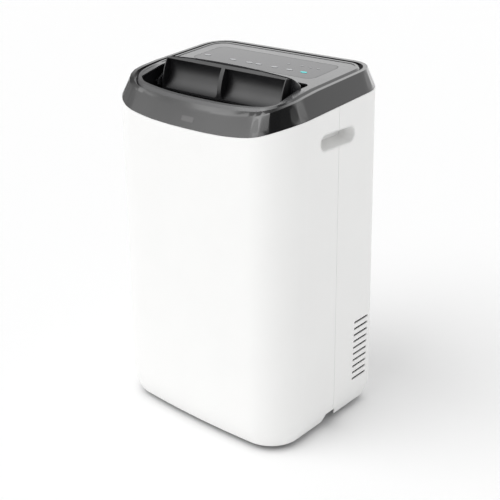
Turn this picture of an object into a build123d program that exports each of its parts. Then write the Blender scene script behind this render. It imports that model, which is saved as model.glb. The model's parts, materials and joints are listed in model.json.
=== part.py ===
"""Portable air conditioner: casing, top deck with a scoop lid, refrigeration set, blowers and casters.

Millimetres.  The origin is on the floor under the middle of the casing, +Z is up, the front
faces -Y and the back faces +Y.  Every piece is a separate node, written to parts/NODE.step.
"""
import os
from math import atan2, cos, degrees, hypot, pi, radians, sin, sqrt

from build123d import *

# ---------------------------------------------------------------- driving sizes
WIDTH = 436.0            # casing, side to side
DEPTH = 332.0            # casing, front to back, with the bowed front
FLOOR_GAP = 12.0         # floor to the casing's lower edge
SIDE_TOP = 692.5         # top edge of the rim at the front corners
SLOPE = 0.09             # rise of the top from front to back
FRONT_BOW = 12.0         # how far the middle of the front stands out
FRONT_R = 78.0           # front vertical corners
REAR_R = 68.0            # rear vertical corners at the top
REAR_R_FOOT = 24.0       # the same at the floor
WALL = 2.5               # moulded shells
TUCK = 11.7              # how far the lower edge turns inwards
TUCK_H = 53.0            # height over which it does so
SEAM_TOP_Y = 6.0         # side seam between the two shells, at the rim
SEAM_FOOT_Y = 25.0       # the same at the floor
SEAM_GAP = 0.5           # open line at a seam
RIM_GAP = 1.0            # open line under the rim

RIM_FACE = 36.5          # height of the rim's face at the sides
RIM_LEAN = 16.0          # how far the face leans inwards
RIM_DIP = 37.0           # how far the rim's top edge dips at the front middle
RIM_FOOT_DIP = 25.3      # the same for its lower edge
RIM_LEDGE = 8.0          # flat or sloping ledge on top of the rim
LEDGE_RISE = 8.0         # how far the ledge climbs at the front middle
GROOVE = 4.5             # shadow groove between rim and deck
GROOVE_H = 5.0           # its depth
DECK_RISE = 0.0          # deck above the rim's edge at the sides
DECK_DIP = 29.0          # how far the deck dips at the front middle
DECK_T = 3.0
LIP = 10.0               # sloped and flat edge of the deck
LIP_GAP = 0.5            # between that edge's foot and the groove's floor
DIP_END_Y = -54.0        # behind this line the top is a plane
DIP_POWER = 3.5          # how flat the middle of the dip is

OPENING_HALF = 168.0     # air outlet in the deck, half its width
OPENING_BACK_Y = -15.0
OPENING_BACK_R = 12.0
LID_GAP = 1.0            # round the closed lid
LID_BACK_GAP = 2.6       # behind the closed lid, where it swings under the deck
LID_T = 2.5
LID_PIVOT_Y = -67.1
LID_PIVOT_Z = 670.5
LID_OPEN = 103.0         # degrees from closed to the rest pose, which is open
LID_PIN_R = 3.0
LID_PIN_PLAY = 0.05
BAY_GAP = 9.0            # rib between the two hollows under the lid
BAY_HALF = 148.0
BAY_WALL = 2.0

WELL_HALF = 174.0        # outlet well under the deck, outside half width
WELL_WALL = 2.0
WELL_TOP_GAP = 0.8       # between the well's upper edge and the deck
WELL_BACK_Y = 0.0
WELL_SHELF_Z = 650.0     # shelf that carries the grilles
WELL_FLOOR_Z = 604.0     # floor of the chamber that the lid's tail swings in
WELL_STEP_Y = -51.5      # wall between the duct and that chamber
GRILLE_IN = 16.0         # inner end of each outlet grille
GRILLE_OUT = 120.0
GRILLE_FRONT_Y = -112.0
GRILLE_BAR = 3.0
GRILLE_PITCH = 7.5
GRILLE_STUD_PITCH = 15.0

PANEL_W = 300.0          # touch panel
PANEL_D = 93.0
PANEL_Y = 57.0
PANEL_T = 1.6
PANEL_R = 16.0
KEY_W = 15.0
KEY_D = 7.0
KEY_T = 0.5

HANDLE_L = 108.0         # side grip pockets
HANDLE_Y = 5.0
HANDLE_H = 34.0
HANDLE_Z = 610.5
HANDLE_DEEP = 34.0
HANDLE_FLANGE = 3.0

NOTCH_W = 43.0           # notch in the lower edge near the seam
NOTCH_Y = 19.0
NOTCH_TOP = 30.0
NOTCH_H = 18.0

VENT_COUNT = 10          # slots low on each side
VENT_PITCH = 14.4
VENT_H = 5.0
VENT_L = 48.0
VENT_Y = 108.5
VENT_Z = 77.5

INTAKE_W = 250.0         # rear intake windows
INTAKE_H = 176.0
INTAKE_UPPER_Z = 535.0
INTAKE_LOWER_Z = 163.0
INTAKE_PLAY = 0.6
INTAKE_T = 6.0
SLAT_PITCH = 11.0
SLAT_T = 2.4
FILTER_T = 5.0

EXHAUST_R = 74.0         # bore of the exhaust collar
EXHAUST_Z = 350.0
EXHAUST_WALL = 3.0
EXHAUST_L = 42.0
DUCT_EASE = 1.5          # the duct is this much wider than the collar

DRAIN_R = 8.0            # drain spigots
DRAIN_BORE = 5.5
DRAIN_X = 150.0
DRAIN_UPPER_Z = 404.0
DRAIN_LOWER_Z = 86.0
DRAIN_L = 16.0
PLUG_PLAY = 0.06
PLUG_STEP = 0.6          # the plug's head is this much narrower, so that a hose slides over it

PAN_Z = 50.0             # underside of the base pan
PAN_T = 3.0
PAN_RIM = 22.0
CASTER_X = 158.0
CASTER_FRONT_Y = -98.0
CASTER_BACK_Y = 104.0
CASTER_WHEEL_R = 18.0
CASTER_WHEEL_W = 16.0
CASTER_TRAIL = 12.0
CASTER_STEM_R = 4.0
CASTER_AXLE_R = 2.5
RUNNING_PLAY = 0.05

FAN_R = 80.0             # upper blower
FAN_Z = 470.0
FAN_FRONT_Y = -124.0
FAN_DEEP = 67.0
LOW_FAN_R = 72.0         # lower blower
LOW_FAN_X = 62.0
LOW_FAN_Z = 205.0
LOW_FAN_FRONT_Y = -20.0
LOW_FAN_DEEP = 74.0
BLADES = 28
SHAFT_R = 4.0
SHAFT_REACH = 28.0       # how far a shaft reaches into its wheel
MOTOR_R = 34.0
MOTOR_L = 30.0
HUB_R = 14.0
HUB_L = 22.0
WHEEL_GAP = 8.0          # between a wheel and its housing, front and back
BLADE_W = 13.0
BLADE_T = 1.6
BLADE_LEAN = 25.0
HOUSING_GAP = 10.0
HOUSING_WALL = 2.0

COMPRESSOR_R = 52.0
COMPRESSOR_X = -112.0
COMPRESSOR_Y = 14.0
COMPRESSOR_Z = 66.0
COMPRESSOR_H = 190.0
FOOT_SPAN = 74.0         # three-cornered foot plate, centre to corner
FOOT_BOLT = 56.0         # centre to grommet
GROMMET_R = 9.0
POT_R = 20.0             # accumulator beside the compressor
POT_X = -132.0
POT_Y = -64.0
POT_LOW = 106.0
POT_TOP = 236.0
COIL_W = 262.0
COIL_T = 34.0
COIL_Y = 122.0
FIN_PITCH = 9.0
PIPE_R = 4.0
BEND_PITCH = 40.0

RIM_T = 3.0              # thickness of the rim's moulding
BEAD = 0.8               # raised bead along the deck's edge
OPENING_STRIP = 1.5      # deck left between the bead and the opening
IR_W = 30.0              # remote control's receiver window
IR_H = 10.5
IR_T = 1.5
PANEL_GAP = 0.8          # line round the touch panel
KEY_Y = 39.0
KEY_XS = (-131.0, -64.0, -21.0, 2.0, 41.0, 77.0, 111.0)
LIGHT_XS = (52.0, 84.0, 104.0, 122.0)
ARM_X = 158.0            # arms that carry the lid
ARM_T = 4.0
BELLY_FRONT = -121.0     # underside of the lid's liner, lid closed
BELLY_TOP = 669.0
BELLY_MID = -89.0
BELLY_LOW = 662.5
BELLY_BACK = -55.0
BELLY_END = 666.0
BAY_CEILING = 681.0
BAY_START = 672.0
BAY_R = 9.0              # rounded ends of the two hollows
DUCT_Z = 600.0           # joint between the blower's outlet and the duct
DRAIN_REACH = 4.0        # clear ring round a drain spigot for a hose
CORD_R = 9.0             # mains cord's inlet
CORD_X = 148.0
CORD_Z = 90.0
SCREW_X = 100.0
SCREW_YS = (-120.0, -30.0, 60.0, 140.0)

BOX_X = 112.0            # control box: inner side, width, front, depth, underside, height
BOX_W = 84.0
BOX_Y = -62.0
BOX_D = 118.0
BOX_Z = 452.0
BOX_H = 134.0
BOX_WALL = 2.0
CAPACITOR_R = 19.0
CAPACITOR_H = 78.0
CHIPS = ((12, 14, 22, 14), (48, 16, 16, 10), (82, 20, 20, 18), (20, 60, 12, 6))
TRAY_HALF = 160.0        # drip tray under the upper coil
TRAY_D = 66.0
TRAY_H = 14.0
TRAY_WALL = 2.0
SPLASH_X = -20.0         # splash motor and its slinger wheel, behind the compressor
SPLASH_Z = 73.0
SPLASH_Y = 58.0
SPLASH_R = 12.0
SLINGER_Y = 91.0
SLINGER_VANES = 8

# ---------------------------------------------------------------- derived places
HALF = WIDTH / 2
FRONT_Y = -DEPTH / 2
BACK_Y = DEPTH / 2
CORNER_Y = FRONT_Y + FRONT_BOW            # where the bowed front would meet the sides
BOW_R = (HALF**2 + FRONT_BOW**2) / (2 * FRONT_BOW)
RIM_FOOT = SIDE_TOP - RIM_FACE
DECK_TOP = SIDE_TOP + DECK_RISE
DECK_INSET = RIM_LEAN + RIM_LEDGE + GROOVE
LIP_INSET = DECK_INSET + LIP
HIGH = SIDE_TOP + 120.0                   # above everything
LOW = -10.0                               # below everything
PIECES = {}


def level(base, y):
    """Height of a sloping top surface at a distance from the front."""
    return base + SLOPE * (y - CORNER_Y)


def dip_at(x, y):
    """Share of the full dip at a place on the top."""
    along = min(max((DIP_END_Y - y) / (DIP_END_Y - CORNER_Y), 0.0), 1.3)
    return (1 - (abs(x) / HALF)**DIP_POWER) * along


def top(base, dip, x, y):
    """Height of a dipped top surface."""
    return level(base, y) - dip * dip_at(x, y)


def plan(inset=0.0, rear_r=REAR_R):
    """Outline of the casing in plan, set in by a distance."""
    radius = BOW_R - inset
    front = FRONT_Y + inset
    back = BACK_Y - inset
    box = Pos(0, (front + back) / 2) * Rectangle(WIDTH - 2 * inset, back - front)
    outline = box & (Pos(0, front + radius) * Circle(radius))
    outline = fillet(outline.vertices().group_by(Axis.Y)[0], FRONT_R - inset)
    return fillet(outline.vertices().group_by(Axis.Y)[-1], rear_r - inset)


def casing(inset=0.0):
    """Solid of the casing up to the top, with the lower edge turned in."""
    def rear_r(rise):
        return REAR_R_FOOT + (REAR_R - REAR_R_FOOT) * rise / (level(RIM_FOOT, BACK_Y) - FLOOR_GAP)

    bend = (TUCK_H**2 + TUCK**2) / (2 * TUCK)
    steps = 4
    sections = []
    for step in range(steps + 1):
        rise = TUCK_H * step / steps
        tuck = bend - sqrt(bend**2 - (TUCK_H - rise)**2)
        sections.append(Pos(0, 0, FLOOR_GAP + rise) * plan(inset + tuck, rear_r(rise) + tuck / 2))
    sections.append(Pos(0, 0, HIGH) * plan(inset, rear_r(HIGH - FLOOR_GAP)))
    return loft(sections, ruled=True)


def under(base, dip):
    """Everything below a top surface that slopes, and dips at the front middle."""
    reach = HALF + 20
    front = FRONT_Y - 10
    edge = top(base, dip, reach, front)
    smile = Spline(*[(reach * n / 8, top(base, dip, reach * n / 8, front)) for n in range(-8, 9)])
    outline = [smile, Line((reach, edge), (reach, LOW)), Line((reach, LOW), (-reach, LOW)),
               Line((-reach, LOW), (-reach, edge))]
    upright = Plane(origin=(0, 0, 0), x_dir=(1, 0, 0), z_dir=(0, -1, 0))
    near = upright.offset(-front) * make_face(outline)
    straight = Polyline((-reach, level(base, DIP_END_Y)), (reach, level(base, DIP_END_Y)),
                        (reach, LOW), (-reach, LOW), close=True)
    far = upright.offset(-DIP_END_Y) * make_face(straight.edges())
    end = BACK_Y + 20
    side = Polyline((DIP_END_Y, LOW), (end, LOW), (end, level(base, end)),
                    (DIP_END_Y, level(base, DIP_END_Y)), close=True)
    rear = extrude(Plane.YZ * make_face(side.edges()), reach, both=True)
    return loft([near, far], ruled=True) + rear


def slab(base, dip, thickness):
    """A layer of one thickness below a dipped top surface."""
    return under(base, dip) - under(base - thickness, dip)


def block(x0, x1, y0, y1, z0, z1):
    """A box between two corners."""
    size = (x1 - x0, y1 - y0, z1 - z0)
    return Pos((x0 + x1) / 2, (y0 + y1) / 2, (z0 + z1) / 2) * Box(*size)


def tube(radius, x, y, z0, z1):
    """An upright round bar."""
    return Pos(x, y, (z0 + z1) / 2) * Cylinder(radius, z1 - z0)


def along_y(radius, x, z, y0, y1):
    """A round bar along Y."""
    return Pos(x, (y0 + y1) / 2, z) * Rot(90, 0, 0) * Cylinder(radius, y1 - y0)


def along_x(radius, y, z, x0, x1):
    """A round bar along X."""
    return Pos((x0 + x1) / 2, y, z) * Rot(0, 90, 0) * Cylinder(radius, x1 - x0)


def both_sides(shape):
    """A piece and its mirror image on the other side."""
    return [shape, mirror(shape, Plane.YZ)]


def keep(name, shape):
    """Name a finished piece."""
    PIECES[name] = shape
    return shape


def stations():
    """Places round half of the outline, from the back middle to the front middle, with the
    direction that points into the casing."""
    places = []
    flat = HALF - REAR_R
    for x in (0.0, 0.35 * flat, 0.7 * flat, 0.92 * flat):
        places.append((x, BACK_Y, 0.0, -1.0))
    for step in range(7):
        turn = radians(90 - 15 * step)
        places.append((flat + REAR_R * cos(turn), BACK_Y - REAR_R + REAR_R * sin(turn),
                       -cos(turn), -sin(turn)))
    middle_x = HALF - FRONT_R
    bow_y = FRONT_Y + BOW_R
    middle_y = bow_y - sqrt((BOW_R - FRONT_R)**2 - middle_x**2)
    start, stop = BACK_Y - REAR_R, middle_y
    for share in (0.06, 0.25, 0.5, 0.75, 0.94):
        places.append((HALF, start + (stop - start) * share, -1.0, 0.0))
    end = atan2(middle_y - bow_y, middle_x)
    for step in range(7):
        turn = end * step / 6
        places.append((middle_x + FRONT_R * cos(turn), middle_y + FRONT_R * sin(turn),
                       -cos(turn), -sin(turn)))
    touch = middle_x + FRONT_R * cos(end)
    for share in (0.9, 0.6, 0.3, 0.0):
        x = touch * share
        y = bow_y - sqrt(BOW_R**2 - x**2)
        size = hypot(x, y - bow_y)
        places.append((x, y, -x / size, -(y - bow_y) / size))
    return places


def band(profile):
    """A moulding that follows the whole outline.  profile(at) gives its section's corners as
    distances in from the outline and heights; at(inset) gives the place at such a distance."""
    sections = []
    for x, y, in_x, in_y in stations():
        def at(inset):
            return x + in_x * inset, y + in_y * inset

        corners = [(*at(inset), z) for inset, z in profile(at)]
        sections.append(make_face(Polyline(*corners, close=True).edges()))
    half = loft(sections, ruled=True)
    return half + mirror(half, Plane.YZ)


def opening(gap=0.0, back_gap=0.0):
    """Outline of the air outlet in the deck, set in by a gap."""
    half = OPENING_HALF - gap
    back = OPENING_BACK_Y - back_gap
    front = FRONT_Y - 20
    box = Pos(0, (front + back) / 2) * Rectangle(2 * half, back - front)
    box = fillet(box.vertices().group_by(Axis.Y)[-1], OPENING_BACK_R)
    return box & plan(LIP_INSET + OPENING_STRIP + gap)


def column(outline, z0=LOW, z1=HIGH):
    """An outline in plan made into an upright prism."""
    return extrude(Pos(0, 0, z0) * outline, z1 - z0)


def rounded(width, height, radius):
    """A rounded rectangle."""
    return RectangleRounded(width, height, radius)


def ahead_of_seam(shift):
    """Everything in front of the slightly slanted side seam."""
    foot = SEAM_FOOT_Y + shift
    head = SEAM_TOP_Y + shift
    lean = (head - foot) / SIDE_TOP
    side = Polyline((FRONT_Y - 20, LOW), (foot + lean * LOW, LOW), (foot + lean * HIGH, HIGH),
                    (FRONT_Y - 20, HIGH), close=True)
    return extrude(Plane.YZ * make_face(side.edges()), WIDTH, both=True)


def groove_floor(at):
    """Height of the floor of the shadow groove."""
    place = at(RIM_LEAN + RIM_LEDGE)
    return top(SIDE_TOP, RIM_DIP, *place) + LEDGE_RISE * dip_at(*place) - GROOVE_H


# ---------------------------------------------------------------- casing
def grip_outline(grow=0.0):
    """Stadium of the side grip, looking along X."""
    height = HANDLE_H + 2 * grow
    return rounded(HANDLE_L + 2 * grow, height, height / 2 - 0.01)


def at_side(x, y, z):
    """A plane that looks out of the right side, with its own x along Y."""
    return Plane(origin=(x, y, z), x_dir=(0, 1, 0), z_dir=(1, 0, 0))


def shells():
    """Front and rear shells, with the side openings that they share."""
    skin = (casing() - casing(WALL)) & under(RIM_FOOT - RIM_GAP, RIM_FOOT_DIP)
    grip = extrude(at_side(HALF - 20, HANDLE_Y, HANDLE_Z) * grip_outline(), 30)
    notch_line = Polyline((-NOTCH_W / 2, -5), (-NOTCH_W / 2, 0), (-NOTCH_TOP / 2, NOTCH_H),
                          (NOTCH_TOP / 2, NOTCH_H), (NOTCH_W / 2, 0), (NOTCH_W / 2, -5), close=True)
    notch = extrude(at_side(HALF - 40, NOTCH_Y, FLOOR_GAP) * make_face(notch_line.edges()), 60)
    skin -= both_sides(grip) + both_sides(notch)
    keep("front_shell", skin & ahead_of_seam(-SEAM_GAP / 2))
    rear = skin - ahead_of_seam(SEAM_GAP / 2)
    slots = []
    for row in range(VENT_COUNT):
        z = VENT_Z + row * VENT_PITCH
        slot = rounded(VENT_L, VENT_H, VENT_H / 2 - 0.01)
        slots += both_sides(extrude(at_side(HALF - 30, VENT_Y, z) * slot, 40))
    rear -= slots
    for z in (INTAKE_UPPER_Z, INTAKE_LOWER_Z):
        rear -= block(-INTAKE_W / 2, INTAKE_W / 2, BACK_Y - 20, BACK_Y + 5,
                      z - INTAKE_H / 2, z + INTAKE_H / 2)
    rear -= along_y(EXHAUST_R + EXHAUST_WALL + SEAM_GAP, LOW_FAN_X, EXHAUST_Z, BACK_Y - 20, BACK_Y + 5)
    for z in (DRAIN_UPPER_Z, DRAIN_LOWER_Z):
        rear -= along_y(DRAIN_R + DRAIN_REACH, -DRAIN_X, z, BACK_Y - 20, BACK_Y + 5)
    rear -= along_y(CORD_R + SEAM_GAP / 2, CORD_X, CORD_Z, BACK_Y - 20, BACK_Y + 5)
    keep("rear_shell", rear)


def grip_cups():
    """Scooped cups behind the side grips, with a flange behind the wall."""
    play = 0.3
    outer = extrude(at_side(HALF - HANDLE_DEEP, HANDLE_Y, HANDLE_Z) * grip_outline(-play),
                    HANDLE_DEEP - 0.2)
    flange = extrude(at_side(HALF - WALL - 2.2, HANDLE_Y, HANDLE_Z) * grip_outline(HANDLE_FLANGE), 2.0)
    deep = HANDLE_DEEP - 2.5
    mouth = at_side(HALF + 0.5, HANDLE_Y, HANDLE_Z) * grip_outline(-play - 1.8)
    end = at_side(HALF - deep, HANDLE_Y, HANDLE_Z) * grip_outline(-9.0)
    cup = outer + flange - loft([end, mouth])
    right, left = both_sides(cup)
    keep("grip_cup_right", right)
    keep("grip_cup_left", left)


def rim_and_deck():
    """Glossy rim round the top, the deck inside it, the touch panel and the receiver window."""
    def rim_section(at):
        foot = top(RIM_FOOT, RIM_FOOT_DIP, *at(0))
        edge = top(SIDE_TOP, RIM_DIP, *at(RIM_LEAN))
        floor = groove_floor(at)
        inner = RIM_LEAN + RIM_LEDGE
        return [(0, foot), (RIM_LEAN, edge), (inner, floor + GROOVE_H), (inner, floor),
                (DECK_INSET + 5, floor), (DECK_INSET + 5, floor - RIM_T),
                (RIM_LEAN + 3, floor - RIM_T), (RIM_T, foot)]

    def lip_section(at):
        floor = groove_floor(at) + LIP_GAP
        crest = DECK_INSET + LIP / 2
        high = top(DECK_TOP, DECK_DIP, *at(crest)) + BEAD
        inner = top(DECK_TOP, DECK_DIP, *at(LIP_INSET))
        below = inner - DECK_T - BEAD
        return [(DECK_INSET, floor), (crest, high), (LIP_INSET, inner + BEAD),
                (LIP_INSET, below), (crest + 2, below), (DECK_INSET + 3, floor)]

    high_z = top(SIDE_TOP, RIM_DIP, 0, FRONT_Y + RIM_LEAN)
    low_z = top(RIM_FOOT, RIM_FOOT_DIP, 0, FRONT_Y)
    lean = degrees(atan2(RIM_LEAN, high_z - low_z))
    seat = Pos(0, FRONT_Y + RIM_LEAN / 2, (high_z + low_z) / 2) * Rot(90 - lean, 0, 0)
    pocket = extrude(seat * rounded(IR_W + 0.6, IR_H + 0.6, 2.3), 3, both=True)
    rim = band(rim_section)
    keep("top_rim", rim - (pocket & (seat * Pos(0, 0, 6 - IR_T) * Box(90, 90, 12))))
    keep("ir_window", extrude(seat * Pos(0, 0, 0.1 - IR_T) * rounded(IR_W, IR_H, 2), IR_T))

    plate = slab(DECK_TOP, DECK_DIP, DECK_T) & column(plan(LIP_INSET - 2))
    panel = Pos(0, PANEL_Y) * rounded(PANEL_W, PANEL_D, PANEL_R)
    recess = Pos(0, PANEL_Y) * rounded(PANEL_W + 2 * PANEL_GAP, PANEL_D + 2 * PANEL_GAP,
                                       PANEL_R + PANEL_GAP)
    sheet = slab(DECK_TOP, DECK_DIP, PANEL_T)
    deck = band(lip_section) + plate - column(opening())
    deck -= slab(DECK_TOP + 5, DECK_DIP, PANEL_T + 5) & column(recess)
    keep("deck_frame", deck)
    keep("control_panel", sheet & column(panel))
    film = slab(DECK_TOP + KEY_T, DECK_DIP, KEY_T)
    keys = [film & column(Pos(x, KEY_Y) * Ellipse(KEY_W / 2, KEY_D / 2)) for x in KEY_XS]
    keep("touch_keys", keys[:-1])
    keep("power_key", keys[-1])
    lights = [film & column(Pos(x, KEY_Y + 30) * rounded(6, 2.2, 1.0)) for x in LIGHT_XS]
    keep("indicator_lights", lights)


# ---------------------------------------------------------------- air outlet and lid
def well_outline(inset=0.0):
    """Outline of the outlet well in plan."""
    half = WELL_HALF - inset
    back = WELL_BACK_Y - inset
    front = FRONT_Y - 20
    box = Pos(0, (front + back) / 2) * Rectangle(2 * half, back - front)
    return box & plan(LIP_INSET - 2 + inset)


def outlet():
    """Well under the deck, its two lattice grilles and the duct that feeds them."""
    ceiling = under(DECK_TOP - DECK_T - BEAD - WELL_TOP_GAP, DECK_DIP)
    upper = column(well_outline(), WELL_SHELF_Z - WELL_WALL) & ceiling
    chamber = block(-WELL_HALF, WELL_HALF, WELL_STEP_Y - WELL_WALL, WELL_BACK_Y,
                    WELL_FLOOR_Z, WELL_SHELF_Z)
    hollow = column(well_outline(WELL_WALL), WELL_SHELF_Z)
    swing = block(-WELL_HALF + WELL_WALL, WELL_HALF - WELL_WALL, WELL_STEP_Y,
                  WELL_BACK_Y - WELL_WALL, WELL_FLOOR_Z + WELL_WALL, WELL_SHELF_Z + 1)
    well = upper + chamber - hollow - swing
    window = block(GRILLE_IN + 3, GRILLE_OUT - 3, GRILLE_FRONT_Y + 3, WELL_STEP_Y - 5,
                   WELL_SHELF_Z - 10, WELL_SHELF_Z + 1)
    bearing = along_x(LID_PIN_R + LID_PIN_PLAY, LID_PIVOT_Y, LID_PIVOT_Z,
                      WELL_HALF - 5, WELL_HALF + 5)
    keep("outlet_well", well - both_sides(window) - both_sides(bearing))

    back = WELL_STEP_Y - 2
    grille = block(GRILLE_IN, GRILLE_OUT, GRILLE_FRONT_Y, back, WELL_SHELF_Z, WELL_SHELF_Z + GRILLE_BAR)
    holes = []
    deep = (back - GRILLE_FRONT_Y - GRILLE_BAR) / round((back - GRILLE_FRONT_Y) / GRILLE_PITCH)
    wide = (GRILLE_OUT - GRILLE_IN - GRILLE_BAR) / round((GRILLE_OUT - GRILLE_IN) / GRILLE_STUD_PITCH)
    x = GRILLE_IN + GRILLE_BAR
    while x < GRILLE_OUT - GRILLE_BAR:
        y = GRILLE_FRONT_Y + GRILLE_BAR
        while y < back - GRILLE_BAR:
            holes.append(block(x, x + wide - GRILLE_BAR, y, y + deep - GRILLE_BAR,
                               WELL_SHELF_Z - 1, WELL_SHELF_Z + GRILLE_BAR + 1))
            y += deep
        x += wide
    right, left = both_sides(grille - holes)
    keep("outlet_grille_right", right)
    keep("outlet_grille_left", left)

    duct_top = WELL_SHELF_Z - WELL_WALL - 0.2
    middle = (GRILLE_FRONT_Y + WELL_STEP_Y - WELL_WALL - 2) / 2
    fan_middle = FAN_FRONT_Y + FAN_DEEP / 2
    sizes = []
    for wall in (0, HOUSING_WALL):
        mouth_d = WELL_STEP_Y - WELL_WALL - 2 - GRILLE_FRONT_Y - 2 * wall
        upper_face = Pos(0, middle, duct_top) * Rectangle(2 * (GRILLE_OUT - wall), mouth_d)
        lower_face = Pos(0, fan_middle, DUCT_Z) * Rectangle(2 * (FAN_R + HOUSING_GAP - wall),
                                                            FAN_DEEP - 2 * wall)
        sizes.append(loft([lower_face, upper_face], ruled=True))
    keep("outlet_duct", sizes[0] - sizes[1])


def lid():
    """Scoop lid, built closed and then turned open about its pins."""
    ready = Pos(0, LID_PIVOT_Y, LID_PIVOT_Z) * Rot(-LID_OPEN, 0, 0) * Pos(0, -LID_PIVOT_Y, -LID_PIVOT_Z)
    skin = slab(DECK_TOP, DECK_DIP, LID_T) & column(opening(LID_GAP, LID_BACK_GAP))
    room = under(DECK_TOP - LID_T, DECK_DIP)
    arm_line = Polyline((LID_PIVOT_Y - 26, HIGH), (LID_PIVOT_Y - 26, LID_PIVOT_Z + 14),
                        (LID_PIVOT_Y - 6, LID_PIVOT_Z - 6), (LID_PIVOT_Y + 6, LID_PIVOT_Z - 6),
                        (LID_PIVOT_Y + 10, LID_PIVOT_Z + 10), (LID_PIVOT_Y + 14, HIGH), close=True)
    arm = extrude(at_side(ARM_X, 0, 0) * make_face(arm_line.edges()), ARM_T)
    arm = (arm & under(DECK_TOP - LID_T / 2, DECK_DIP)) - along_x(
        LID_PIN_R, LID_PIVOT_Y, LID_PIVOT_Z, ARM_X - 1, ARM_X + ARM_T + 1)
    keep("lid_skin", ready * (skin + both_sides(arm)))

    edge = column(opening(LID_GAP + 2, LID_BACK_GAP))
    belly = [Line((BELLY_FRONT, HIGH), (BELLY_FRONT, BELLY_TOP)),
             ThreePointArc((BELLY_FRONT, BELLY_TOP), (BELLY_MID, BELLY_LOW), (BELLY_BACK, BELLY_END)),
             Line((BELLY_BACK, BELLY_END), (BELLY_BACK, HIGH)),
             Line((BELLY_BACK, HIGH), (BELLY_FRONT, HIGH))]
    bulk = extrude(at_side(-BAY_HALF, 0, 0) * make_face(belly), 2 * BAY_HALF) & room & edge
    front, back = BELLY_FRONT + 6, BELLY_BACK - 3.5
    hollow = [Line((front, BELLY_LOW - 20), (front, BAY_START)),
              ThreePointArc((front, BAY_START), (BELLY_MID, BAY_CEILING), (back, BELLY_END + 2)),
              Line((back, BELLY_END + 2), (back, BELLY_LOW - 20)),
              Line((back, BELLY_LOW - 20), (front, BELLY_LOW - 20))]
    wide = BAY_HALF - BAY_WALL - BAY_GAP / 2
    bay = extrude(at_side(BAY_GAP / 2, 0, 0) * make_face(hollow), wide)
    place = Pos(BAY_GAP / 2 + wide / 2, (front - 20 + back) / 2)
    bay &= column(place * rounded(wide, back - front + 20, BAY_R))
    keep("lid_liner", ready * (bulk - both_sides(bay)))
    pin = along_x(LID_PIN_R, LID_PIVOT_Y, LID_PIVOT_Z, ARM_X - 1, WELL_HALF - 0.2)
    keep("lid_pins", both_sides(pin))
    body = along_x(11, LID_PIVOT_Y, LID_PIVOT_Z, -WELL_HALF - 16, -WELL_HALF - 0.5)
    ear = block(-WELL_HALF - 3, -WELL_HALF - 0.5, LID_PIVOT_Y - 18, LID_PIVOT_Y + 18,
                LID_PIVOT_Z - 5, LID_PIVOT_Z + 5)
    keep("lid_motor", body + ear)


# ---------------------------------------------------------------- blowers and exhaust
def blower_wheel(radius, x, z, front, deep):
    """Squirrel-cage wheel on a disc with a hub."""
    y0, y1 = front + WHEEL_GAP, front + deep - WHEEL_GAP
    wheel = along_y(radius, x, z, y0, y0 + 3) + along_y(HUB_R, x, z, y0, y0 + HUB_L)
    wheel += along_y(radius, x, z, y1 - 4, y1) - along_y(radius - BLADE_W - 1, x, z, y1 - 5, y1 + 1)
    blades = []
    for number in range(BLADES):
        blade = Box(BLADE_W, y1 - y0 - 2, BLADE_T)
        place = Pos(x, (y0 + y1) / 2, z) * Rot(0, 360 * number / BLADES, 0)
        blades.append(place * Pos(radius - BLADE_W / 2 - 1, 0, 0) * Rot(0, BLADE_LEAN, 0) * blade)
    return wheel + blades - along_y(SHAFT_R + RUNNING_PLAY, x, z, y0 - 1, y1)


def blower_housing(radius, x, z, front, deep, z_top, exit_half):
    """Round housing with an upright outlet, a shaft hole in front and an inlet behind."""
    back = front + deep
    wall = HOUSING_WALL
    outer = along_y(radius, x, z, front, back)
    outer += block(x - exit_half, x + exit_half, front, back, z, z_top)
    inner = along_y(radius - wall, x, z, front + wall, back - wall)
    inner += block(x - exit_half + wall, x + exit_half - wall, front + wall, back - wall, z, z_top + 1)
    holes = along_y(radius - HOUSING_GAP - 16, x, z, back - 5, back + 5)
    holes += along_y(SHAFT_R + 4, x, z, front - 5, front + 5)
    return outer - inner - holes


def blower_motor(x, z, front):
    """Motor in front of a blower, its shaft reaching into the wheel's hub."""
    body = along_y(MOTOR_R, x, z, front - MOTOR_L, front - SEAM_GAP)
    body = fillet(body.edges().filter_by(GeomType.CIRCLE).group_by(Axis.Y)[0], 5)
    return body + along_y(SHAFT_R, x, z, front - 1, front + SHAFT_REACH)


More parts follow.
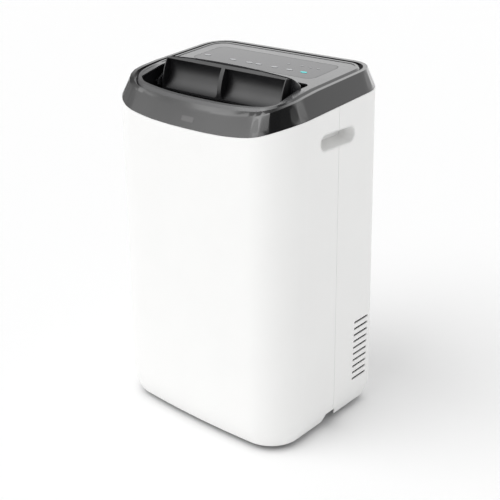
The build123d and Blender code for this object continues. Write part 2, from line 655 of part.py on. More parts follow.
def blowers():
    """Upper blower for the room air, lower blower for the hot air, and the hot air's way out."""
    radius = FAN_R + HOUSING_GAP
    keep("upper_blower_housing", blower_housing(radius, 0, FAN_Z, FAN_FRONT_Y, FAN_DEEP,
                                                DUCT_Z - 0.2, radius))
    keep("upper_blower_wheel", blower_wheel(FAN_R, 0, FAN_Z, FAN_FRONT_Y, FAN_DEEP))
    keep("upper_blower_motor", blower_motor(0, FAN_Z, FAN_FRONT_Y))
    radius = LOW_FAN_R + HOUSING_GAP
    y_back = LOW_FAN_FRONT_Y + LOW_FAN_DEEP
    housing = blower_housing(radius, LOW_FAN_X, LOW_FAN_Z, LOW_FAN_FRONT_Y, LOW_FAN_DEEP,
                             EXHAUST_Z + radius, radius)
    lid_plate = block(LOW_FAN_X - radius, LOW_FAN_X + radius, LOW_FAN_FRONT_Y, y_back,
                      EXHAUST_Z + radius, EXHAUST_Z + radius + HOUSING_WALL)
    housing = housing + lid_plate - along_y(EXHAUST_R, LOW_FAN_X, EXHAUST_Z, y_back - 5, y_back + 5)
    keep("lower_blower_housing", housing)
    keep("lower_blower_wheel", blower_wheel(LOW_FAN_R, LOW_FAN_X, LOW_FAN_Z, LOW_FAN_FRONT_Y,
                                            LOW_FAN_DEEP))
    keep("lower_blower_motor", blower_motor(LOW_FAN_X, LOW_FAN_Z, LOW_FAN_FRONT_Y))
    outside = EXHAUST_R + EXHAUST_WALL
    start = BACK_Y - EXHAUST_L
    duct = along_y(outside + DUCT_EASE, LOW_FAN_X, EXHAUST_Z, y_back + 0.3, start - 0.3)
    keep("exhaust_duct", duct - along_y(EXHAUST_R + DUCT_EASE, LOW_FAN_X, EXHAUST_Z, y_back, start))
    collar = along_y(outside, LOW_FAN_X, EXHAUST_Z, start, BACK_Y - 0.2)
    collar += along_y(outside + 7, LOW_FAN_X, EXHAUST_Z, BACK_Y - WALL - 3.5, BACK_Y - WALL - 0.5)
    keep("exhaust_collar", collar - along_y(EXHAUST_R, LOW_FAN_X, EXHAUST_Z, start - 1, BACK_Y))


# ---------------------------------------------------------------- refrigeration set
def coil(z0, z1):
    """Finned block of a heat exchanger."""
    core, fin = COIL_T / 2 - 4, COIL_T / 2
    count = int(COIL_W // FIN_PITCH)
    points = []
    for number in range(count):
        x = -COIL_W / 2 + number * FIN_PITCH
        points += [(x, fin), (x + 2, fin), (x + 2, core), (x + FIN_PITCH, core)]
    points += [(-p, -q) for p, q in points]
    return extrude(Pos(0, COIL_Y, z0) * make_face(Polyline(*points, close=True).edges()), z1 - z0)


def bends(z0, z1):
    """Return bends at both ends of a heat exchanger."""
    shapes = []
    end = COIL_W / 2 - 1
    z = z0 + BEND_PITCH / 2
    while z + BEND_PITCH / 2 < z1:
        ring = Torus(BEND_PITCH / 4, PIPE_R) & Pos(15, 0, 0) * Box(30, 60, 30)
        half_ring = Pos(end, COIL_Y, z) * Rot(90, 0, 0) * ring
        shapes += both_sides(half_ring)
        z += BEND_PITCH
    return shapes


def refrigeration():
    """Compressor, accumulator, both heat exchangers, their pipes and the drip tray."""
    z0, z1 = COMPRESSOR_Z, COMPRESSOR_Z + COMPRESSOR_H
    drum = tube(COMPRESSOR_R, COMPRESSOR_X, COMPRESSOR_Y, z0 + 4, z1)
    drum = fillet(drum.edges().filter_by(GeomType.CIRCLE), 22)
    foot = Pos(COMPRESSOR_X, COMPRESSOR_Y, z0) * extrude(RegularPolygon(FOOT_SPAN, 3), 3)
    foot = fillet(foot.edges().filter_by(Axis.Z), 12)
    rods, grommets = [], []
    for number in range(3):
        turn = radians(120 * number)
        x = COMPRESSOR_X + FOOT_BOLT * cos(turn)
        y = COMPRESSOR_Y + FOOT_BOLT * sin(turn)
        rods.append(tube(5.2, x, y, z0 - 2, z0 + 5))
        grommets.append(tube(GROMMET_R, x, y, PAN_Z + PAN_T, z0 - 0.1) + tube(5, x, y, z0 - 1, z0 + 6))
    skirt = tube(COMPRESSOR_R - 12, COMPRESSOR_X, COMPRESSOR_Y, z0, z0 + 10)
    keep("compressor", drum + foot + skirt - rods)
    keep("compressor_feet", grommets)
    pot = tube(POT_R, POT_X, POT_Y, POT_LOW, POT_TOP)
    pot = fillet(pot.edges().filter_by(GeomType.CIRCLE), 12)
    keep("accumulator", pot)
    low, high = PAN_Z + PAN_T + 6, EXHAUST_Z - EXHAUST_R - 16
    keep("condenser_coil", [coil(low, high)] + bends(low, high))
    hot_port = low + 4 * BEND_PITCH
    tray_z = EXHAUST_Z + EXHAUST_R + 14
    low, high = tray_z + 6, WELL_FLOOR_Z + 20
    keep("evaporator_coil", [coil(low, high)] + bends(low, high))
    cold_port = low + 2 * BEND_PITCH
    y0, half = COIL_Y - TRAY_D / 2 - 3, TRAY_HALF - TRAY_WALL
    tray = block(-TRAY_HALF, TRAY_HALF, y0, y0 + TRAY_D, tray_z - TRAY_WALL, tray_z - TRAY_WALL + TRAY_H)
    keep("drip_tray", tray - block(-half, half, y0 + TRAY_WALL, y0 + TRAY_D - TRAY_WALL,
                                   tray_z + 0.5, tray_z + TRAY_H))
    pipes = []
    routes = (
        [(COMPRESSOR_X, COMPRESSOR_Y, z1), (COMPRESSOR_X, COMPRESSOR_Y, z1 + 40),
         (COMPRESSOR_X - 40, COMPRESSOR_Y + 40, z1 + 40), (COMPRESSOR_X - 40, COIL_Y, z1 + 40),
         (COMPRESSOR_X - 40, COIL_Y, hot_port), (-COIL_W / 2 - 0.5, COIL_Y, hot_port)],
        [(POT_X, POT_Y, POT_TOP), (POT_X, POT_Y, z1 + 90),
         (COMPRESSOR_X - 52, COMPRESSOR_Y + 20, z1 + 120), (COMPRESSOR_X - 52, COIL_Y - 46, cold_port),
         (COMPRESSOR_X - 52, COIL_Y, cold_port), (-COIL_W / 2 - 0.5, COIL_Y, cold_port)],
    )
    for route in routes:
        path = FilletPolyline(*route, radius=10)
        start = Plane(origin=route[0], z_dir=path % 0)
        pipes.append(sweep(start * Circle(PIPE_R), path=path))
    keep("refrigerant_pipes", pipes)


# ---------------------------------------------------------------- electrics
def electrics():
    """Control box with its board and capacitor, display board and the splash motor."""
    x1, y1, z1 = BOX_X + BOX_W, BOX_Y + BOX_D, BOX_Z + BOX_H
    wall = BOX_WALL
    room = block(BOX_X + wall, x1 - wall, BOX_Y + wall, y1 - wall, BOX_Z + wall, z1 - wall)
    keep("control_box", block(BOX_X, x1, BOX_Y, y1, BOX_Z, z1) - room)
    face = BOX_X + wall + 4
    board = block(face, face + 1.6, BOX_Y + 5, y1 - 5, BOX_Z + 6, z1 - 8)
    for y, z, wide, tall in CHIPS:
        board += block(face + 1, face + 1 + tall, BOX_Y + y, BOX_Y + y + wide, BOX_Z + z, BOX_Z + z + wide)
    keep("main_board", board)
    x, y, low = x1 - CAPACITOR_R - 5, y1 - CAPACITOR_R - 11, BOX_Z + wall + 2
    keep("run_capacitor", tube(CAPACITOR_R, x, y, low, low + CAPACITOR_H)
         + tube(4, x, y, low + CAPACITOR_H - 1, low + CAPACITOR_H + 8))
    board = column(Pos(0, PANEL_Y) * Rectangle(PANEL_W - 30, PANEL_D - 30))
    keep("display_board", slab(DECK_TOP - DECK_T - 5, 0.001, 1.6) & board)
    x, z, y = SPLASH_X, SPLASH_Z, SLINGER_Y
    keep("splash_motor", along_y(SPLASH_R, x, z, SPLASH_Y, y - 7) + along_y(2, x, z, y - 8, y + 5))
    vanes = [Pos(x, y, z) * Rot(0, 360 * number / SLINGER_VANES, 0) * Pos(11, 0, 0) * Box(12, 5, 1.6)
             for number in range(SLINGER_VANES)]
    keep("slinger_wheel", along_y(6, x, z, y - 3, y + 3) + vanes
         - along_y(2 + RUNNING_PLAY, x, z, y - 11, y + 8))


# ---------------------------------------------------------------- rear fittings
def rear_fittings():
    """Intake grilles with their filters, drains with their plugs, and the cord's inlet."""
    for name, z in (("upper", INTAKE_UPPER_Z), ("lower", INTAKE_LOWER_Z)):
        half_w, half_h = INTAKE_W / 2 - INTAKE_PLAY, INTAKE_H / 2 - INTAKE_PLAY
        y1 = BACK_Y - 0.2
        y0 = y1 - INTAKE_T
        frame = block(-half_w, half_w, y0, y1, z - half_h, z + half_h)
        gaps = []
        rows = int((2 * half_h - 16) // SLAT_PITCH)
        for row in range(rows):
            low = z - rows * SLAT_PITCH / 2 + row * SLAT_PITCH
            for x0 in (-half_w + 8, 4):
                gaps.append(block(x0, x0 + half_w - 12, y0 - 1, y1 + 1, low + SLAT_T, low + SLAT_PITCH))
        keep(name + "_intake_grille", frame - gaps)
        filter_frame = block(-half_w + 1, half_w - 1, y0 - FILTER_T - 0.2, y0 - 0.2,
                             z - half_h + 1, z + half_h - 1)
        meshes = []
        for column_number in range(4):
            width = (2 * half_w - 2 - 5 * 5) / 4
            x0 = -half_w + 6 + column_number * (width + 5)
            meshes.append(block(x0, x0 + width, y0 - FILTER_T - 1, y0 - 1.4, z - half_h + 6, z + half_h - 6))
        keep(name + "_filter", filter_frame - meshes)
    spigots = []
    for name, z in (("upper", DRAIN_UPPER_Z), ("lower", DRAIN_LOWER_Z)):
        end = BACK_Y - 4
        spigot = along_y(DRAIN_R, -DRAIN_X, z, end - DRAIN_L, end)
        spigots.append(spigot - along_y(DRAIN_BORE, -DRAIN_X, z, end - DRAIN_L - 1, end + 1))
        head = along_y(DRAIN_R - PLUG_STEP, -DRAIN_X, z, end + 0.3, BACK_Y - 0.3)
        stem = along_y(DRAIN_BORE - PLUG_PLAY, -DRAIN_X, z, end - DRAIN_L + 4, end + 1)
        keep("drain_plug_" + name, head + stem)
    keep("drain_spigots", spigots)
    gland = along_y(CORD_R, CORD_X, CORD_Z, BACK_Y - 14, BACK_Y - 0.2)
    gland += along_y(CORD_R + 3, CORD_X, CORD_Z, BACK_Y - WALL - 3.5, BACK_Y - WALL - 0.5)
    keep("cord_inlet", gland - along_y(4, CORD_X, CORD_Z, BACK_Y - 15, BACK_Y))


# ---------------------------------------------------------------- base and casters
def base():
    """Base pan with the caster sockets, four swivel casters and the pan's screws."""
    play = 0.4
    outer = casing(WALL + play) & block(-WIDTH, WIDTH, -DEPTH, DEPTH, PAN_Z, PAN_Z + PAN_RIM)
    inner = casing(WALL + play + PAN_T) & block(-WIDTH, WIDTH, -DEPTH, DEPTH,
                                                PAN_Z + PAN_T, PAN_Z + PAN_RIM + 1)
    pan = outer - inner
    screws = []
    corners = {"front_left": (-CASTER_X, CASTER_FRONT_Y), "front_right": (CASTER_X, CASTER_FRONT_Y),
               "rear_left": (-CASTER_X, CASTER_BACK_Y), "rear_right": (CASTER_X, CASTER_BACK_Y)}
    for name, (x, y) in corners.items():
        pan += tube(9, x, y, PAN_Z - 4, PAN_Z + 16)
        pan -= tube(CASTER_STEM_R + RUNNING_PLAY, x, y, PAN_Z - 10, PAN_Z + 20)
        axle_y = y + CASTER_TRAIL
        half = CASTER_WHEEL_W / 2
        arm_out = half + 3.2
        plate_z = PAN_Z - 4.5
        fork = block(x - arm_out, x + arm_out, y - 10, axle_y + 8, plate_z - 3.5, plate_z)
        fork += block(x - arm_out, x + arm_out, axle_y - 7, axle_y + 7, CASTER_WHEEL_R - 6, plate_z)
        fork -= block(x - half - 0.6, x + half + 0.6, y - 40, y + 60, 0, plate_z - 3.5)
        fork -= along_x(CASTER_AXLE_R, axle_y, CASTER_WHEEL_R, x - 20, x + 20)
        fork += tube(CASTER_STEM_R, x, y, plate_z - 1, PAN_Z + 14)
        axle = along_x(CASTER_AXLE_R, axle_y, CASTER_WHEEL_R, x - arm_out, x + arm_out)
        keep("caster_fork_" + name, [fork, axle])
        wheel = along_x(CASTER_WHEEL_R, axle_y, CASTER_WHEEL_R, x - half, x + half)
        wheel = fillet(wheel.edges().filter_by(GeomType.CIRCLE), 2.5)
        wheel -= along_x(CASTER_AXLE_R + RUNNING_PLAY, axle_y, CASTER_WHEEL_R, x - 20, x + 20)
        keep("caster_wheel_" + name, wheel)
    for x in (-SCREW_X, SCREW_X):
        for y in SCREW_YS:
            pan -= tube(2.2, x, y, PAN_Z - 5, PAN_Z + PAN_T + 5)
            screws.append(tube(4, x, y, PAN_Z - 2, PAN_Z) + tube(2, x, y, PAN_Z - 1, PAN_Z + 9))
    keep("base_pan", pan)
    keep("pan_screws", screws)


def solids_of(shape):
    """All solids of a piece, whether it is one solid or a group."""
    group = shape if isinstance(shape, (list, tuple)) else [shape]
    found = []
    for item in group:
        found += list(item.solids())
    return found


shells()
grip_cups()
rim_and_deck()
outlet()
lid()
blowers()
refrigeration()
electrics()
rear_fittings()
base()

os.makedirs("parts", exist_ok=True)
for node, shape in PIECES.items():
    solids = solids_of(shape)
    export_step(solids[0] if len(solids) == 1 else Compound(children=solids), f"parts/{node}.step")
print(len(PIECES), "nodes")
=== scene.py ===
# %% [markdown]
# # A portable air conditioner, finished in Blender
# The engineering model holds every shape that has a size.  This lesson takes those pieces as a
# fixed frame, gives each surface its finish and rounds the edges that catch light.  Lengths are
# metres, +Z is up and the front faces -Y.

# %% Load the frame
import bpy
import json
from math import cos, pi, radians, sin
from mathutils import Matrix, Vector


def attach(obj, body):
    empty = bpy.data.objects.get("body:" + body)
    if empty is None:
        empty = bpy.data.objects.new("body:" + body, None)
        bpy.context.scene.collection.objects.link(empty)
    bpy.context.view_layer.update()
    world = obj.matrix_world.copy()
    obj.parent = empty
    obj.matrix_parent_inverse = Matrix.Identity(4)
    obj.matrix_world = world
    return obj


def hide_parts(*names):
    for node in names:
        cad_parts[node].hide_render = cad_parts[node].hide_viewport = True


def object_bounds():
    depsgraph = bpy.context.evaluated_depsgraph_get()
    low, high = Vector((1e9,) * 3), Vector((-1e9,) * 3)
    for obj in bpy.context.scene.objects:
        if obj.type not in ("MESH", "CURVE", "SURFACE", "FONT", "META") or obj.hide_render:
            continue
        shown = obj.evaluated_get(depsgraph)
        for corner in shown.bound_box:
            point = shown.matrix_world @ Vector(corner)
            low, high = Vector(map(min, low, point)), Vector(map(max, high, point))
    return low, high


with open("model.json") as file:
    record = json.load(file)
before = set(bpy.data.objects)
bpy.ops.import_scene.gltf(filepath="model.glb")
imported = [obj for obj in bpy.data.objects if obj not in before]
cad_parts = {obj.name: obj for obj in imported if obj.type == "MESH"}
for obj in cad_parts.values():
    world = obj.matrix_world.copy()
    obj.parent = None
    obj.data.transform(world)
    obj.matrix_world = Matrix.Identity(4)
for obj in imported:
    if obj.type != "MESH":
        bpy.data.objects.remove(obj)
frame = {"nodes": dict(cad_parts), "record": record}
cad_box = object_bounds()
MM = 0.001
nodes = frame["nodes"]
print("loaded", len(nodes), "pieces, box", [round(c, 3) for c in cad_box[1]])

# %% [markdown]
# ## Helpers
# Colours are written as sRGB hex, as a colour card gives them, and one function turns them to
# the linear values that the renderer needs.  One function adds a shader node with its settings
# and links, so each material below reads as a short recipe.

# %% Colour and node helpers
def linear(code):
    """sRGB hex to linear red, green, blue, alpha."""
    values = [int(code[at:at + 2], 16) / 255 for at in (1, 3, 5)]
    return tuple(v / 12.92 if v <= 0.04045 else ((v + 0.055) / 1.055) ** 2.4 for v in values) + (1.0,)


def add(tree, kind, links=(), **settings):
    """Adds a node; settings name sockets or properties, and links are (from socket, to name)."""
    node = tree.nodes.new(kind)
    for name, value in settings.items():
        if hasattr(node, name):
            setattr(node, name, value)
        else:
            node.inputs[name.replace("_", " ")].default_value = value
    for source, target in links:
        tree.links.new(source, node.inputs[target])
    return node


def blank(name):
    """A new material with an output and a principled shader."""
    material = bpy.data.materials.new(name)
    material.use_nodes = True
    tree = material.node_tree
    tree.nodes.clear()
    shader = add(tree, "ShaderNodeBsdfPrincipled")
    add(tree, "ShaderNodeOutputMaterial", [(shader.outputs[0], "Surface")])
    return material, tree, shader


def bumped(tree, shader, height, distance, strength=1.0):
    """Sends a height through a bump node into a shader."""
    bump = add(tree, "ShaderNodeBump", [(height, "Height")], Strength=strength, Distance=distance)
    tree.links.new(bump.outputs[0], shader.inputs["Normal"])


def ramp(tree, factor, low, high, start=0.0, end=1.0):
    """A two-stop colour ramp."""
    node = add(tree, "ShaderNodeValToRGB", [(factor, "Fac")])
    node.color_ramp.elements[0].position = start
    node.color_ramp.elements[0].color = low
    node.color_ramp.elements[1].position = end
    node.color_ramp.elements[1].color = high
    return node.outputs["Color"]


# %% [markdown]
# ## Moulded plastics
# Nearly everything outside is injection-moulded ABS.  What differs is the polish of the mould.
# The casing is spark-eroded: a fine satin grain that breaks up highlights.  The rim and the lid
# come from a polished mould, so they mirror the room.  A grain of about 0.4 mm is too fine to
# show from two metres, so it is drawn near 1 mm and kept very shallow.

# %% Plastic recipe
def moulded(name, colour, roughness, grain=0.0, depth=0.0, drift=0.06, shade=0.93, coat=0.0):
    """Injection-moulded plastic: colour, polish, grain size and depth, and slight unevenness."""
    material, tree, shader = blank(name)
    place = add(tree, "ShaderNodeTexCoord").outputs["Object"]
    broad = add(tree, "ShaderNodeTexNoise", [(place, "Vector")], Scale=9.0, Detail=2.0, Roughness=0.5)
    base = linear(colour)
    darker = tuple(c * shade for c in base[:3]) + (1.0,)
    tree.links.new(ramp(tree, broad.outputs["Fac"], darker, base, 0.3, 0.7), shader.inputs["Base Color"])
    spread = add(tree, "ShaderNodeMapRange", [(broad.outputs["Fac"], "Value")])
    spread.inputs["From Min"].default_value = 0.3
    spread.inputs["From Max"].default_value = 0.7
    spread.inputs["To Min"].default_value = max(roughness - drift, 0.02)
    spread.inputs["To Max"].default_value = roughness + drift
    tree.links.new(spread.outputs["Result"], shader.inputs["Roughness"])
    shader.inputs["IOR"].default_value = 1.53
    if coat:
        shader.inputs["Coat Weight"].default_value = coat
        shader.inputs["Coat Roughness"].default_value = 0.05
    if grain:
        fine = add(tree, "ShaderNodeTexNoise", [(place, "Vector")], Scale=1 / grain, Detail=3.0,
                   Roughness=0.6)
        bumped(tree, shader, fine.outputs["Fac"], depth)
    return material


white_abs = moulded("satin_white_abs", "#f4f4f3", 0.42, grain=1.1 * MM, depth=0.015 * MM, shade=0.985)
cup_abs = moulded("satin_white_abs_cup", "#ececeb", 0.46, grain=1.1 * MM, depth=0.015 * MM, shade=0.98)
gloss_black = moulded("polished_black_abs", "#0b0b0c", 0.14, drift=0.02, shade=0.9, coat=0.35)
# The deck and lid are the same polished black as the rim; their lighter charcoal is a painted reflection of
# the bright sky above.
black_abs_painted_reflection = moulded("polished_black_abs_painted_reflection", "#2a2a2c", 0.24, drift=0.03, shade=0.92, coat=0.4)
satin_black = moulded("satin_black_abs", "#141416", 0.38, grain=1.2 * MM, depth=0.02 * MM, shade=0.85)
grille_abs = moulded("satin_grey_abs", "#8a8b8e", 0.36, grain=1.0 * MM, depth=0.01 * MM)
fan_plastic = moulded("glass_filled_black_nylon", "#1b1c1e", 0.50, grain=1.5 * MM, depth=0.03 * MM)
caster_nylon = moulded("black_caster_nylon", "#202123", 0.48, grain=1.2 * MM, depth=0.02 * MM)
pin_plastic = moulded("acetal_pin", "#242426", 0.30)
tray_plastic = moulded("moulded_white_tray", "#dedcd6", 0.45, grain=1.6 * MM, depth=0.02 * MM)
print("plastics ready")

# %% [markdown]
# ## Foam, rubber, metal and board
# The air passages are expanded foam, whose beads are 3 to 4 mm across.  The chassis is
# galvanised sheet with its crystal spangle, the exchanger fins are aluminium foil half folded by
# the rollers, and the pipes are drawn copper that has started to darken.

# %% Foam, rubber, metals
def foam(name, colour, bead):
    """Expanded polystyrene: round beads pressed together."""
    material, tree, shader = blank(name)
    place = add(tree, "ShaderNodeTexCoord").outputs["Object"]
    cells = add(tree, "ShaderNodeTexVoronoi", [(place, "Vector")], Scale=1 / bead)
    base = linear(colour)
    seam = tuple(c * 0.72 for c in base[:3]) + (1.0,)
    tree.links.new(ramp(tree, cells.outputs["Distance"], base, seam, 0.35, 0.8), shader.inputs["Base Color"])
    shader.inputs["Roughness"].default_value = 0.85
    bumped(tree, shader, cells.outputs["Distance"], -0.4 * MM)
    return material


def rubber(name, colour, roughness=0.75):
    """Soft moulded rubber with a dusty bloom."""
    material, tree, shader = blank(name)
    place = add(tree, "ShaderNodeTexCoord").outputs["Object"]
    bloom = add(tree, "ShaderNodeTexNoise", [(place, "Vector")], Scale=120.0, Detail=4.0)
    base = linear(colour)
    dusty = tuple(min(c * 1.6 + 0.01, 1.0) for c in base[:3]) + (1.0,)
    tree.links.new(ramp(tree, bloom.outputs["Fac"], base, dusty, 0.45, 0.75), shader.inputs["Base Color"])
    shader.inputs["Roughness"].default_value = roughness
    bumped(tree, shader, bloom.outputs["Fac"], 0.03 * MM)
    return material


def sheet_metal(name, colour, roughness, pattern, size, depth=0.01 * MM, shade=0.8):
    """Rolled, drawn or galvanised metal; pattern is spangle or drawn lines."""
    material, tree, shader = blank(name)
    place = add(tree, "ShaderNodeTexCoord").outputs["Object"]
    if pattern == "spangle":
        marks = add(tree, "ShaderNodeTexVoronoi", [(place, "Vector")], Scale=1 / size).outputs["Color"]
        marks = add(tree, "ShaderNodeRGBToBW", [(marks, "Color")]).outputs[0]
    else:
        lines = add(tree, "ShaderNodeTexNoise", [(place, "Vector")], Scale=1 / size, Detail=3.0)
        marks = lines.outputs["Fac"]
    base = linear(colour)
    darker = tuple(c * shade for c in base[:3]) + (1.0,)
    tree.links.new(ramp(tree, marks, darker, base, 0.2, 0.8), shader.inputs["Base Color"])
    shader.inputs["Metallic"].default_value = 1.0
    shader.inputs["Roughness"].default_value = roughness
    bumped(tree, shader, marks, depth)
    return material


white_foam = foam("expanded_polystyrene", "#d9d9d6", 3.5 * MM)
grommet_rubber = rubber("black_grommet_rubber", "#1a1a1a")
plug_rubber = rubber("grey_plug_rubber", "#3a3a3b", 0.65)
zinc_sheet = sheet_metal("galvanised_steel", "#a9adb0", 0.38, "spangle", 9 * MM)
motor_steel = sheet_metal("zinc_plated_steel", "#b4b6b8", 0.32, "drawn", 3 * MM)
fin_aluminium = sheet_metal("rolled_aluminium_fins", "#c9cccf", 0.34, "drawn", 2 * MM)
copper = sheet_metal("drawn_copper", "#b9714a", 0.30, "drawn", 12 * MM, shade=0.6)
screw_steel = sheet_metal("zinc_plated_screw", "#b9babc", 0.30, "drawn", 1 * MM)
black_enamel = moulded("black_oven_enamel", "#0f0f10", 0.25, grain=3 * MM, depth=0.04 * MM, coat=0.3)
print("foam, rubber and metals ready")

# %% [markdown]
# ## Panel, prints, filter and board
# The touch panel is a smoked acrylic sheet with its underside painted, which is why it looks
# deep.  Its marks are silk-screened ink, and the turquoise power key is given a painted glow.
# The filter is a woven nylon net, and the board a green laminate with solder dots.

# %% Panel, prints, filter and board
def printed(name, colour, painted_glow=0.0):
    """Silk-screened ink, a hair proud of the panel, with a fine screen texture; an emission adds a painted
    glow.
    """
    material, tree, shader = blank(name)
    place = add(tree, "ShaderNodeTexCoord").outputs["Object"]
    dots = add(tree, "ShaderNodeTexNoise", [(place, "Vector")], Scale=1500.0, Detail=1.0)
    base = linear(colour)
    thin = tuple(c * 0.85 for c in base[:3]) + (1.0,)
    tree.links.new(ramp(tree, dots.outputs["Fac"], thin, base, 0.35, 0.6), shader.inputs["Base Color"])
    shader.inputs["Roughness"].default_value = 0.35
    # Emission on ink is a painted glow: the ink gives no light of its own.
    if painted_glow:
        shader.inputs["Emission Color"].default_value = base
        shader.inputs["Emission Strength"].default_value = painted_glow
    return material


def woven(name, colour, pitch):
    """A plain woven net: crossing waves one thread apart."""
    material, tree, shader = blank(name)
    place = add(tree, "ShaderNodeTexCoord").outputs["Object"]
    waves = [add(tree, "ShaderNodeTexWave", [(place, "Vector")], bands_direction=way, Scale=0.5 / pitch)
             for way in ("X", "Z")]
    both = add(tree, "ShaderNodeMath", [(waves[0].outputs["Fac"], 0), (waves[1].outputs["Fac"], 1)],
               operation="MAXIMUM")
    base = linear(colour)
    gap = tuple(c * 0.25 for c in base[:3]) + (1.0,)
    tree.links.new(ramp(tree, both.outputs[0], gap, base, 0.35, 0.75), shader.inputs["Base Color"])
    shader.inputs["Roughness"].default_value = 0.7
    bumped(tree, shader, both.outputs[0], 0.2 * MM)
    return material


panel_acrylic = moulded("smoked_acrylic", "#29282c", 0.12, drift=0.02, shade=0.9, coat=0.0)
receiver_acrylic = moulded("infrared_acrylic", "#161214", 0.14, drift=0.02, coat=0.8)
grey_ink = printed("grey_ink", "#a9aaad")
# The power key's turquoise ink carries a painted glow.
turquoise_ink_painted_glow = printed("turquoise_ink_painted_glow", "#35c3c4", 0.25)
filter_net = woven("nylon_filter_net", "#4a4c50", 1.6 * MM)
laminate = moulded("green_board_laminate", "#1c5a2c", 0.35, grain=2.5 * MM, depth=0.05 * MM, shade=0.7)
print("panel, prints and nets ready")

# %% [markdown]
# ## Finishes on the frame's own pieces
# Each piece gets the finish of what it is made of.  A piece that isn't named in the table would
# keep a plain colour, so the last line counts what is left.

# %% Assign finishes
FINISHES = {
    white_abs: ("front_shell", "rear_shell", "upper_intake_grille", "lower_intake_grille",
                "exhaust_collar", "drain_spigots"),
    cup_abs: ("grip_cup_left", "grip_cup_right"),
    gloss_black: ("top_rim",),
    # deck and lid: black plastic drawn lighter as a painted sky reflection
    black_abs_painted_reflection: ("deck_frame", "lid_skin"),
    satin_black: ("lid_liner", "outlet_well"),
    grille_abs: ("outlet_grille_left", "outlet_grille_right"),
    panel_acrylic: ("control_panel",),
    receiver_acrylic: ("ir_window",),
    grey_ink: ("touch_keys", "indicator_lights"),
    turquoise_ink_painted_glow: ("power_key",),
    pin_plastic: ("lid_pins",),
    white_foam: ("outlet_duct", "upper_blower_housing", "lower_blower_housing", "exhaust_duct"),
    fan_plastic: ("upper_blower_wheel", "lower_blower_wheel", "slinger_wheel"),
    motor_steel: ("lid_motor", "upper_blower_motor", "lower_blower_motor", "splash_motor",
                  "run_capacitor"),
    fin_aluminium: ("evaporator_coil", "condenser_coil"),
    tray_plastic: ("drip_tray",),
    black_enamel: ("compressor", "accumulator"),
    grommet_rubber: ("compressor_feet",),
    copper: ("refrigerant_pipes",),
    zinc_sheet: ("control_box", "base_pan"),
    laminate: ("main_board", "display_board"),
    filter_net: ("upper_filter", "lower_filter"),
    plug_rubber: ("drain_plug_upper", "drain_plug_lower", "cord_inlet"),
    screw_steel: ("pan_screws",),
    caster_nylon: tuple(name for name in nodes if name.startswith("caster_")),
}
finish_of = {}
for material, names in FINISHES.items():
    for name in names:
        nodes[name].data.materials.clear()
        nodes[name].data.materials.append(material)
        finish_of[name] = material
print("without a finish:", sorted(set(nodes) - set(finish_of)))

# %% [markdown]
# ## Soft edges on the visible mouldings
# A real moulding has no sharp edge: the mould is cut with a small radius, and that radius is the
# thin bright line round the rim.  A copy of each of six visible pieces is welded, its flat faces
# joined again except on the rim, and a bevel modifier rounds every edge that is sharper than a set angle.

# %% Rounded copies
BODY_OF = {name: body for body, members in frame["record"]["behaviour"]["bodies"].items()
           for name in members}


def deselect():
    """Nothing selected and object mode, so that an operator acts on one piece only."""
    if bpy.context.object and bpy.context.object.mode != "OBJECT":
        bpy.ops.object.mode_set(mode="OBJECT")
    bpy.ops.object.select_all(action="DESELECT")


def only(piece):
    """Makes one piece the selected and active one."""
    deselect()
    piece.select_set(True)
    bpy.context.view_layer.objects.active = piece


def soft_copy(name, radius, segments=2, sharp=38.0, join_flats=True):
    """A rounded copy of a frame piece, which then stands for it."""
    piece = bpy.data.objects.new(name + "_soft", nodes[name].data.copy())
    bpy.context.scene.collection.objects.link(piece)
    only(piece)
    bpy.ops.object.mode_set(mode="EDIT")
    bpy.ops.mesh.select_all(action="SELECT")
    bpy.ops.mesh.remove_doubles(threshold=0.00001)
    if join_flats:
        bpy.ops.mesh.dissolve_limited(angle_limit=radians(0.6))
    bpy.ops.object.mode_set(mode="OBJECT")
    bevel = piece.modifiers.new("edge radius", "BEVEL")
    bevel.width = radius
    bevel.segments = segments
    bevel.limit_method = "ANGLE"
    bevel.angle_limit = radians(sharp)
    bevel.use_clamp_overlap = True
    bpy.ops.object.modifier_apply(modifier=bevel.name)
    bpy.ops.object.shade_smooth_by_angle(angle=radians(32))
    even = piece.modifiers.new("even shading", "WEIGHTED_NORMAL")
    even.keep_sharp = True
    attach(piece, BODY_OF[name])
    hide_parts(name)
    return piece


rounded = {name: soft_copy(name, radius * MM, join_flats=name != "top_rim") for name, radius in
           (("top_rim", 0.8), ("deck_frame", 0.5), ("lid_skin", 0.4), ("lid_liner", 0.6),
            ("front_shell", 0.4), ("rear_shell", 0.4))}
print("rounded", {name: len(piece.data.polygons) for name, piece in rounded.items()})

# %% [markdown]
# ## Smooth shading on the rest
# Round pieces such as wheels and pipes are made of many flat faces.  Shading smooth by angle
# lets the light run over them and keeps their real edges crisp.  It changes no vertex.

# %% Shade by angle
for name, node in nodes.items():
    if name not in rounded:
        only(node)
        bpy.ops.object.shade_smooth_by_angle(angle=radians(30))
deselect()
print("shaded", len(nodes) - len(rounded), "pieces")

# %% [markdown]
# ## Floor, light and camera
# The setting is a white sweep in an even white room, with one broad window as the sun.  Polished
# faces mirror a second room that is bright in some directions and dark in others.

# %% Stage
FLOOR_SIZE = 40
ROOM_STRENGTH = 0.72
MIRROR_GAIN = 4.0
WINDOW_STRENGTH = 1.2
WINDOW_ANGLE = 50
WINDOW_WAY = Vector((0.30, 0.55, -0.78))
lowest = cad_box[0].z
bpy.ops.mesh.primitive_plane_add(size=FLOOR_SIZE, location=(0, 0, lowest))
floor = bpy.context.object
floor.name = "studio_floor"
floor_paint, _, floor_shader = blank("matt_white_sweep")
floor_shader.inputs["Base Color"].default_value = linear("#fbfbfb")
floor_shader.inputs["Roughness"].default_value = 0.9
floor.data.materials.append(floor_paint)

world = bpy.data.worlds.new("studio")
bpy.context.scene.world = world
world.use_nodes = True
room = world.node_tree
room_light = room.nodes["Background"]
room_light.inputs["Color"].default_value = linear("#ffffff")
room_light.inputs["Strength"].default_value = ROOM_STRENGTH

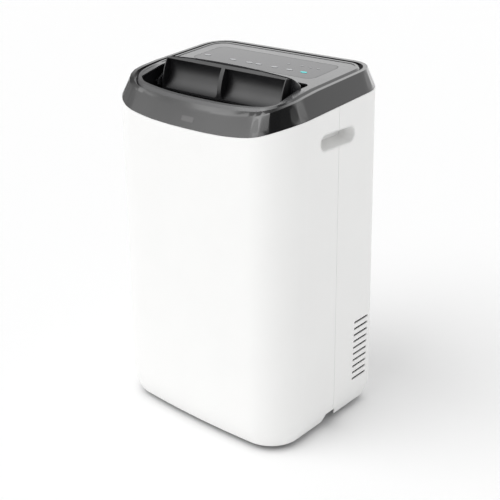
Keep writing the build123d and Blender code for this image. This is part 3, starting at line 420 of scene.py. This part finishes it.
# What a polished face mirrors, by compass direction: 0 is the back, 0.5 the front.
REFLECTED = ((0.0, 0.50), (0.11, 0.36), (0.21, 0.10), (0.32, 0.28), (0.40, 0.72), (0.45, 0.20),
             (0.54, 0.03), (0.72, 0.05), (0.82, 0.62), (0.88, 0.30), (1.0, 0.50))
way = add(room, "ShaderNodeSeparateXYZ", [(add(room, "ShaderNodeTexCoord").outputs["Generated"], "Vector")])
facing = add(room, "ShaderNodeMath", [(way.outputs["Y"], 0)], operation="MULTIPLY")
facing.inputs[1].default_value = -1.0
compass = add(room, "ShaderNodeMath", [(way.outputs["X"], 0), (facing.outputs[0], 1)], operation="ARCTAN2")
turned = add(room, "ShaderNodeMapRange", [(compass.outputs[0], "Value")])
turned.inputs["From Min"].default_value = -pi
turned.inputs["From Max"].default_value = pi
bands = add(room, "ShaderNodeValToRGB", [(turned.outputs["Result"], "Fac")])
bands.color_ramp.interpolation = "EASE"
while len(bands.color_ramp.elements) < len(REFLECTED):
    bands.color_ramp.elements.new(0.5)
for stop, (place, value) in zip(bands.color_ramp.elements, REFLECTED):
    stop.position = place
    stop.color = (value, value, value, 1.0)
mirror_light = add(room, "ShaderNodeBackground", [(bands.outputs["Color"], "Color")], Strength=MIRROR_GAIN)
choice = add(room, "ShaderNodeMixShader", [
    (add(room, "ShaderNodeLightPath").outputs["Is Glossy Ray"], 0),
    (room_light.outputs[0], 1), (mirror_light.outputs[0], 2)])
room.links.new(choice.outputs[0], room.nodes["World Output"].inputs["Surface"])

sun_data = bpy.data.lights.new("window", "SUN")
sun_data.energy = WINDOW_STRENGTH
sun_data.angle = radians(WINDOW_ANGLE)
sun = bpy.data.objects.new("window", sun_data)
sun.rotation_euler = WINDOW_WAY.to_track_quat("-Z", "Y").to_euler()
bpy.context.scene.collection.objects.link(sun)

# %% Camera
AZIMUTH, ELEVATION = 40.683, 21.647
FOCAL_LENGTH, DISTANCE, SENSOR = 69.325, 1.949, 36.0
SHIFT = (0.00665, -0.04745)
target = Vector((0, 6 * MM, 384 * MM))
turn, lift = radians(AZIMUTH), radians(ELEVATION)
back = Vector((sin(turn) * cos(lift), -cos(turn) * cos(lift), sin(lift)))
camera_data = bpy.data.cameras.new("camera")
camera = bpy.data.objects.new("camera", camera_data)
bpy.context.scene.collection.objects.link(camera)
camera_data.sensor_width = SENSOR
camera_data.lens = FOCAL_LENGTH
camera_data.shift_x, camera_data.shift_y = SHIFT
camera.rotation_mode = "QUATERNION"
camera.location = target + back * DISTANCE
camera.rotation_quaternion = (-back).to_track_quat("-Z", "Y")
bpy.context.scene.camera = camera

view_settings = bpy.context.scene.view_settings
view_settings.view_transform = "Standard"
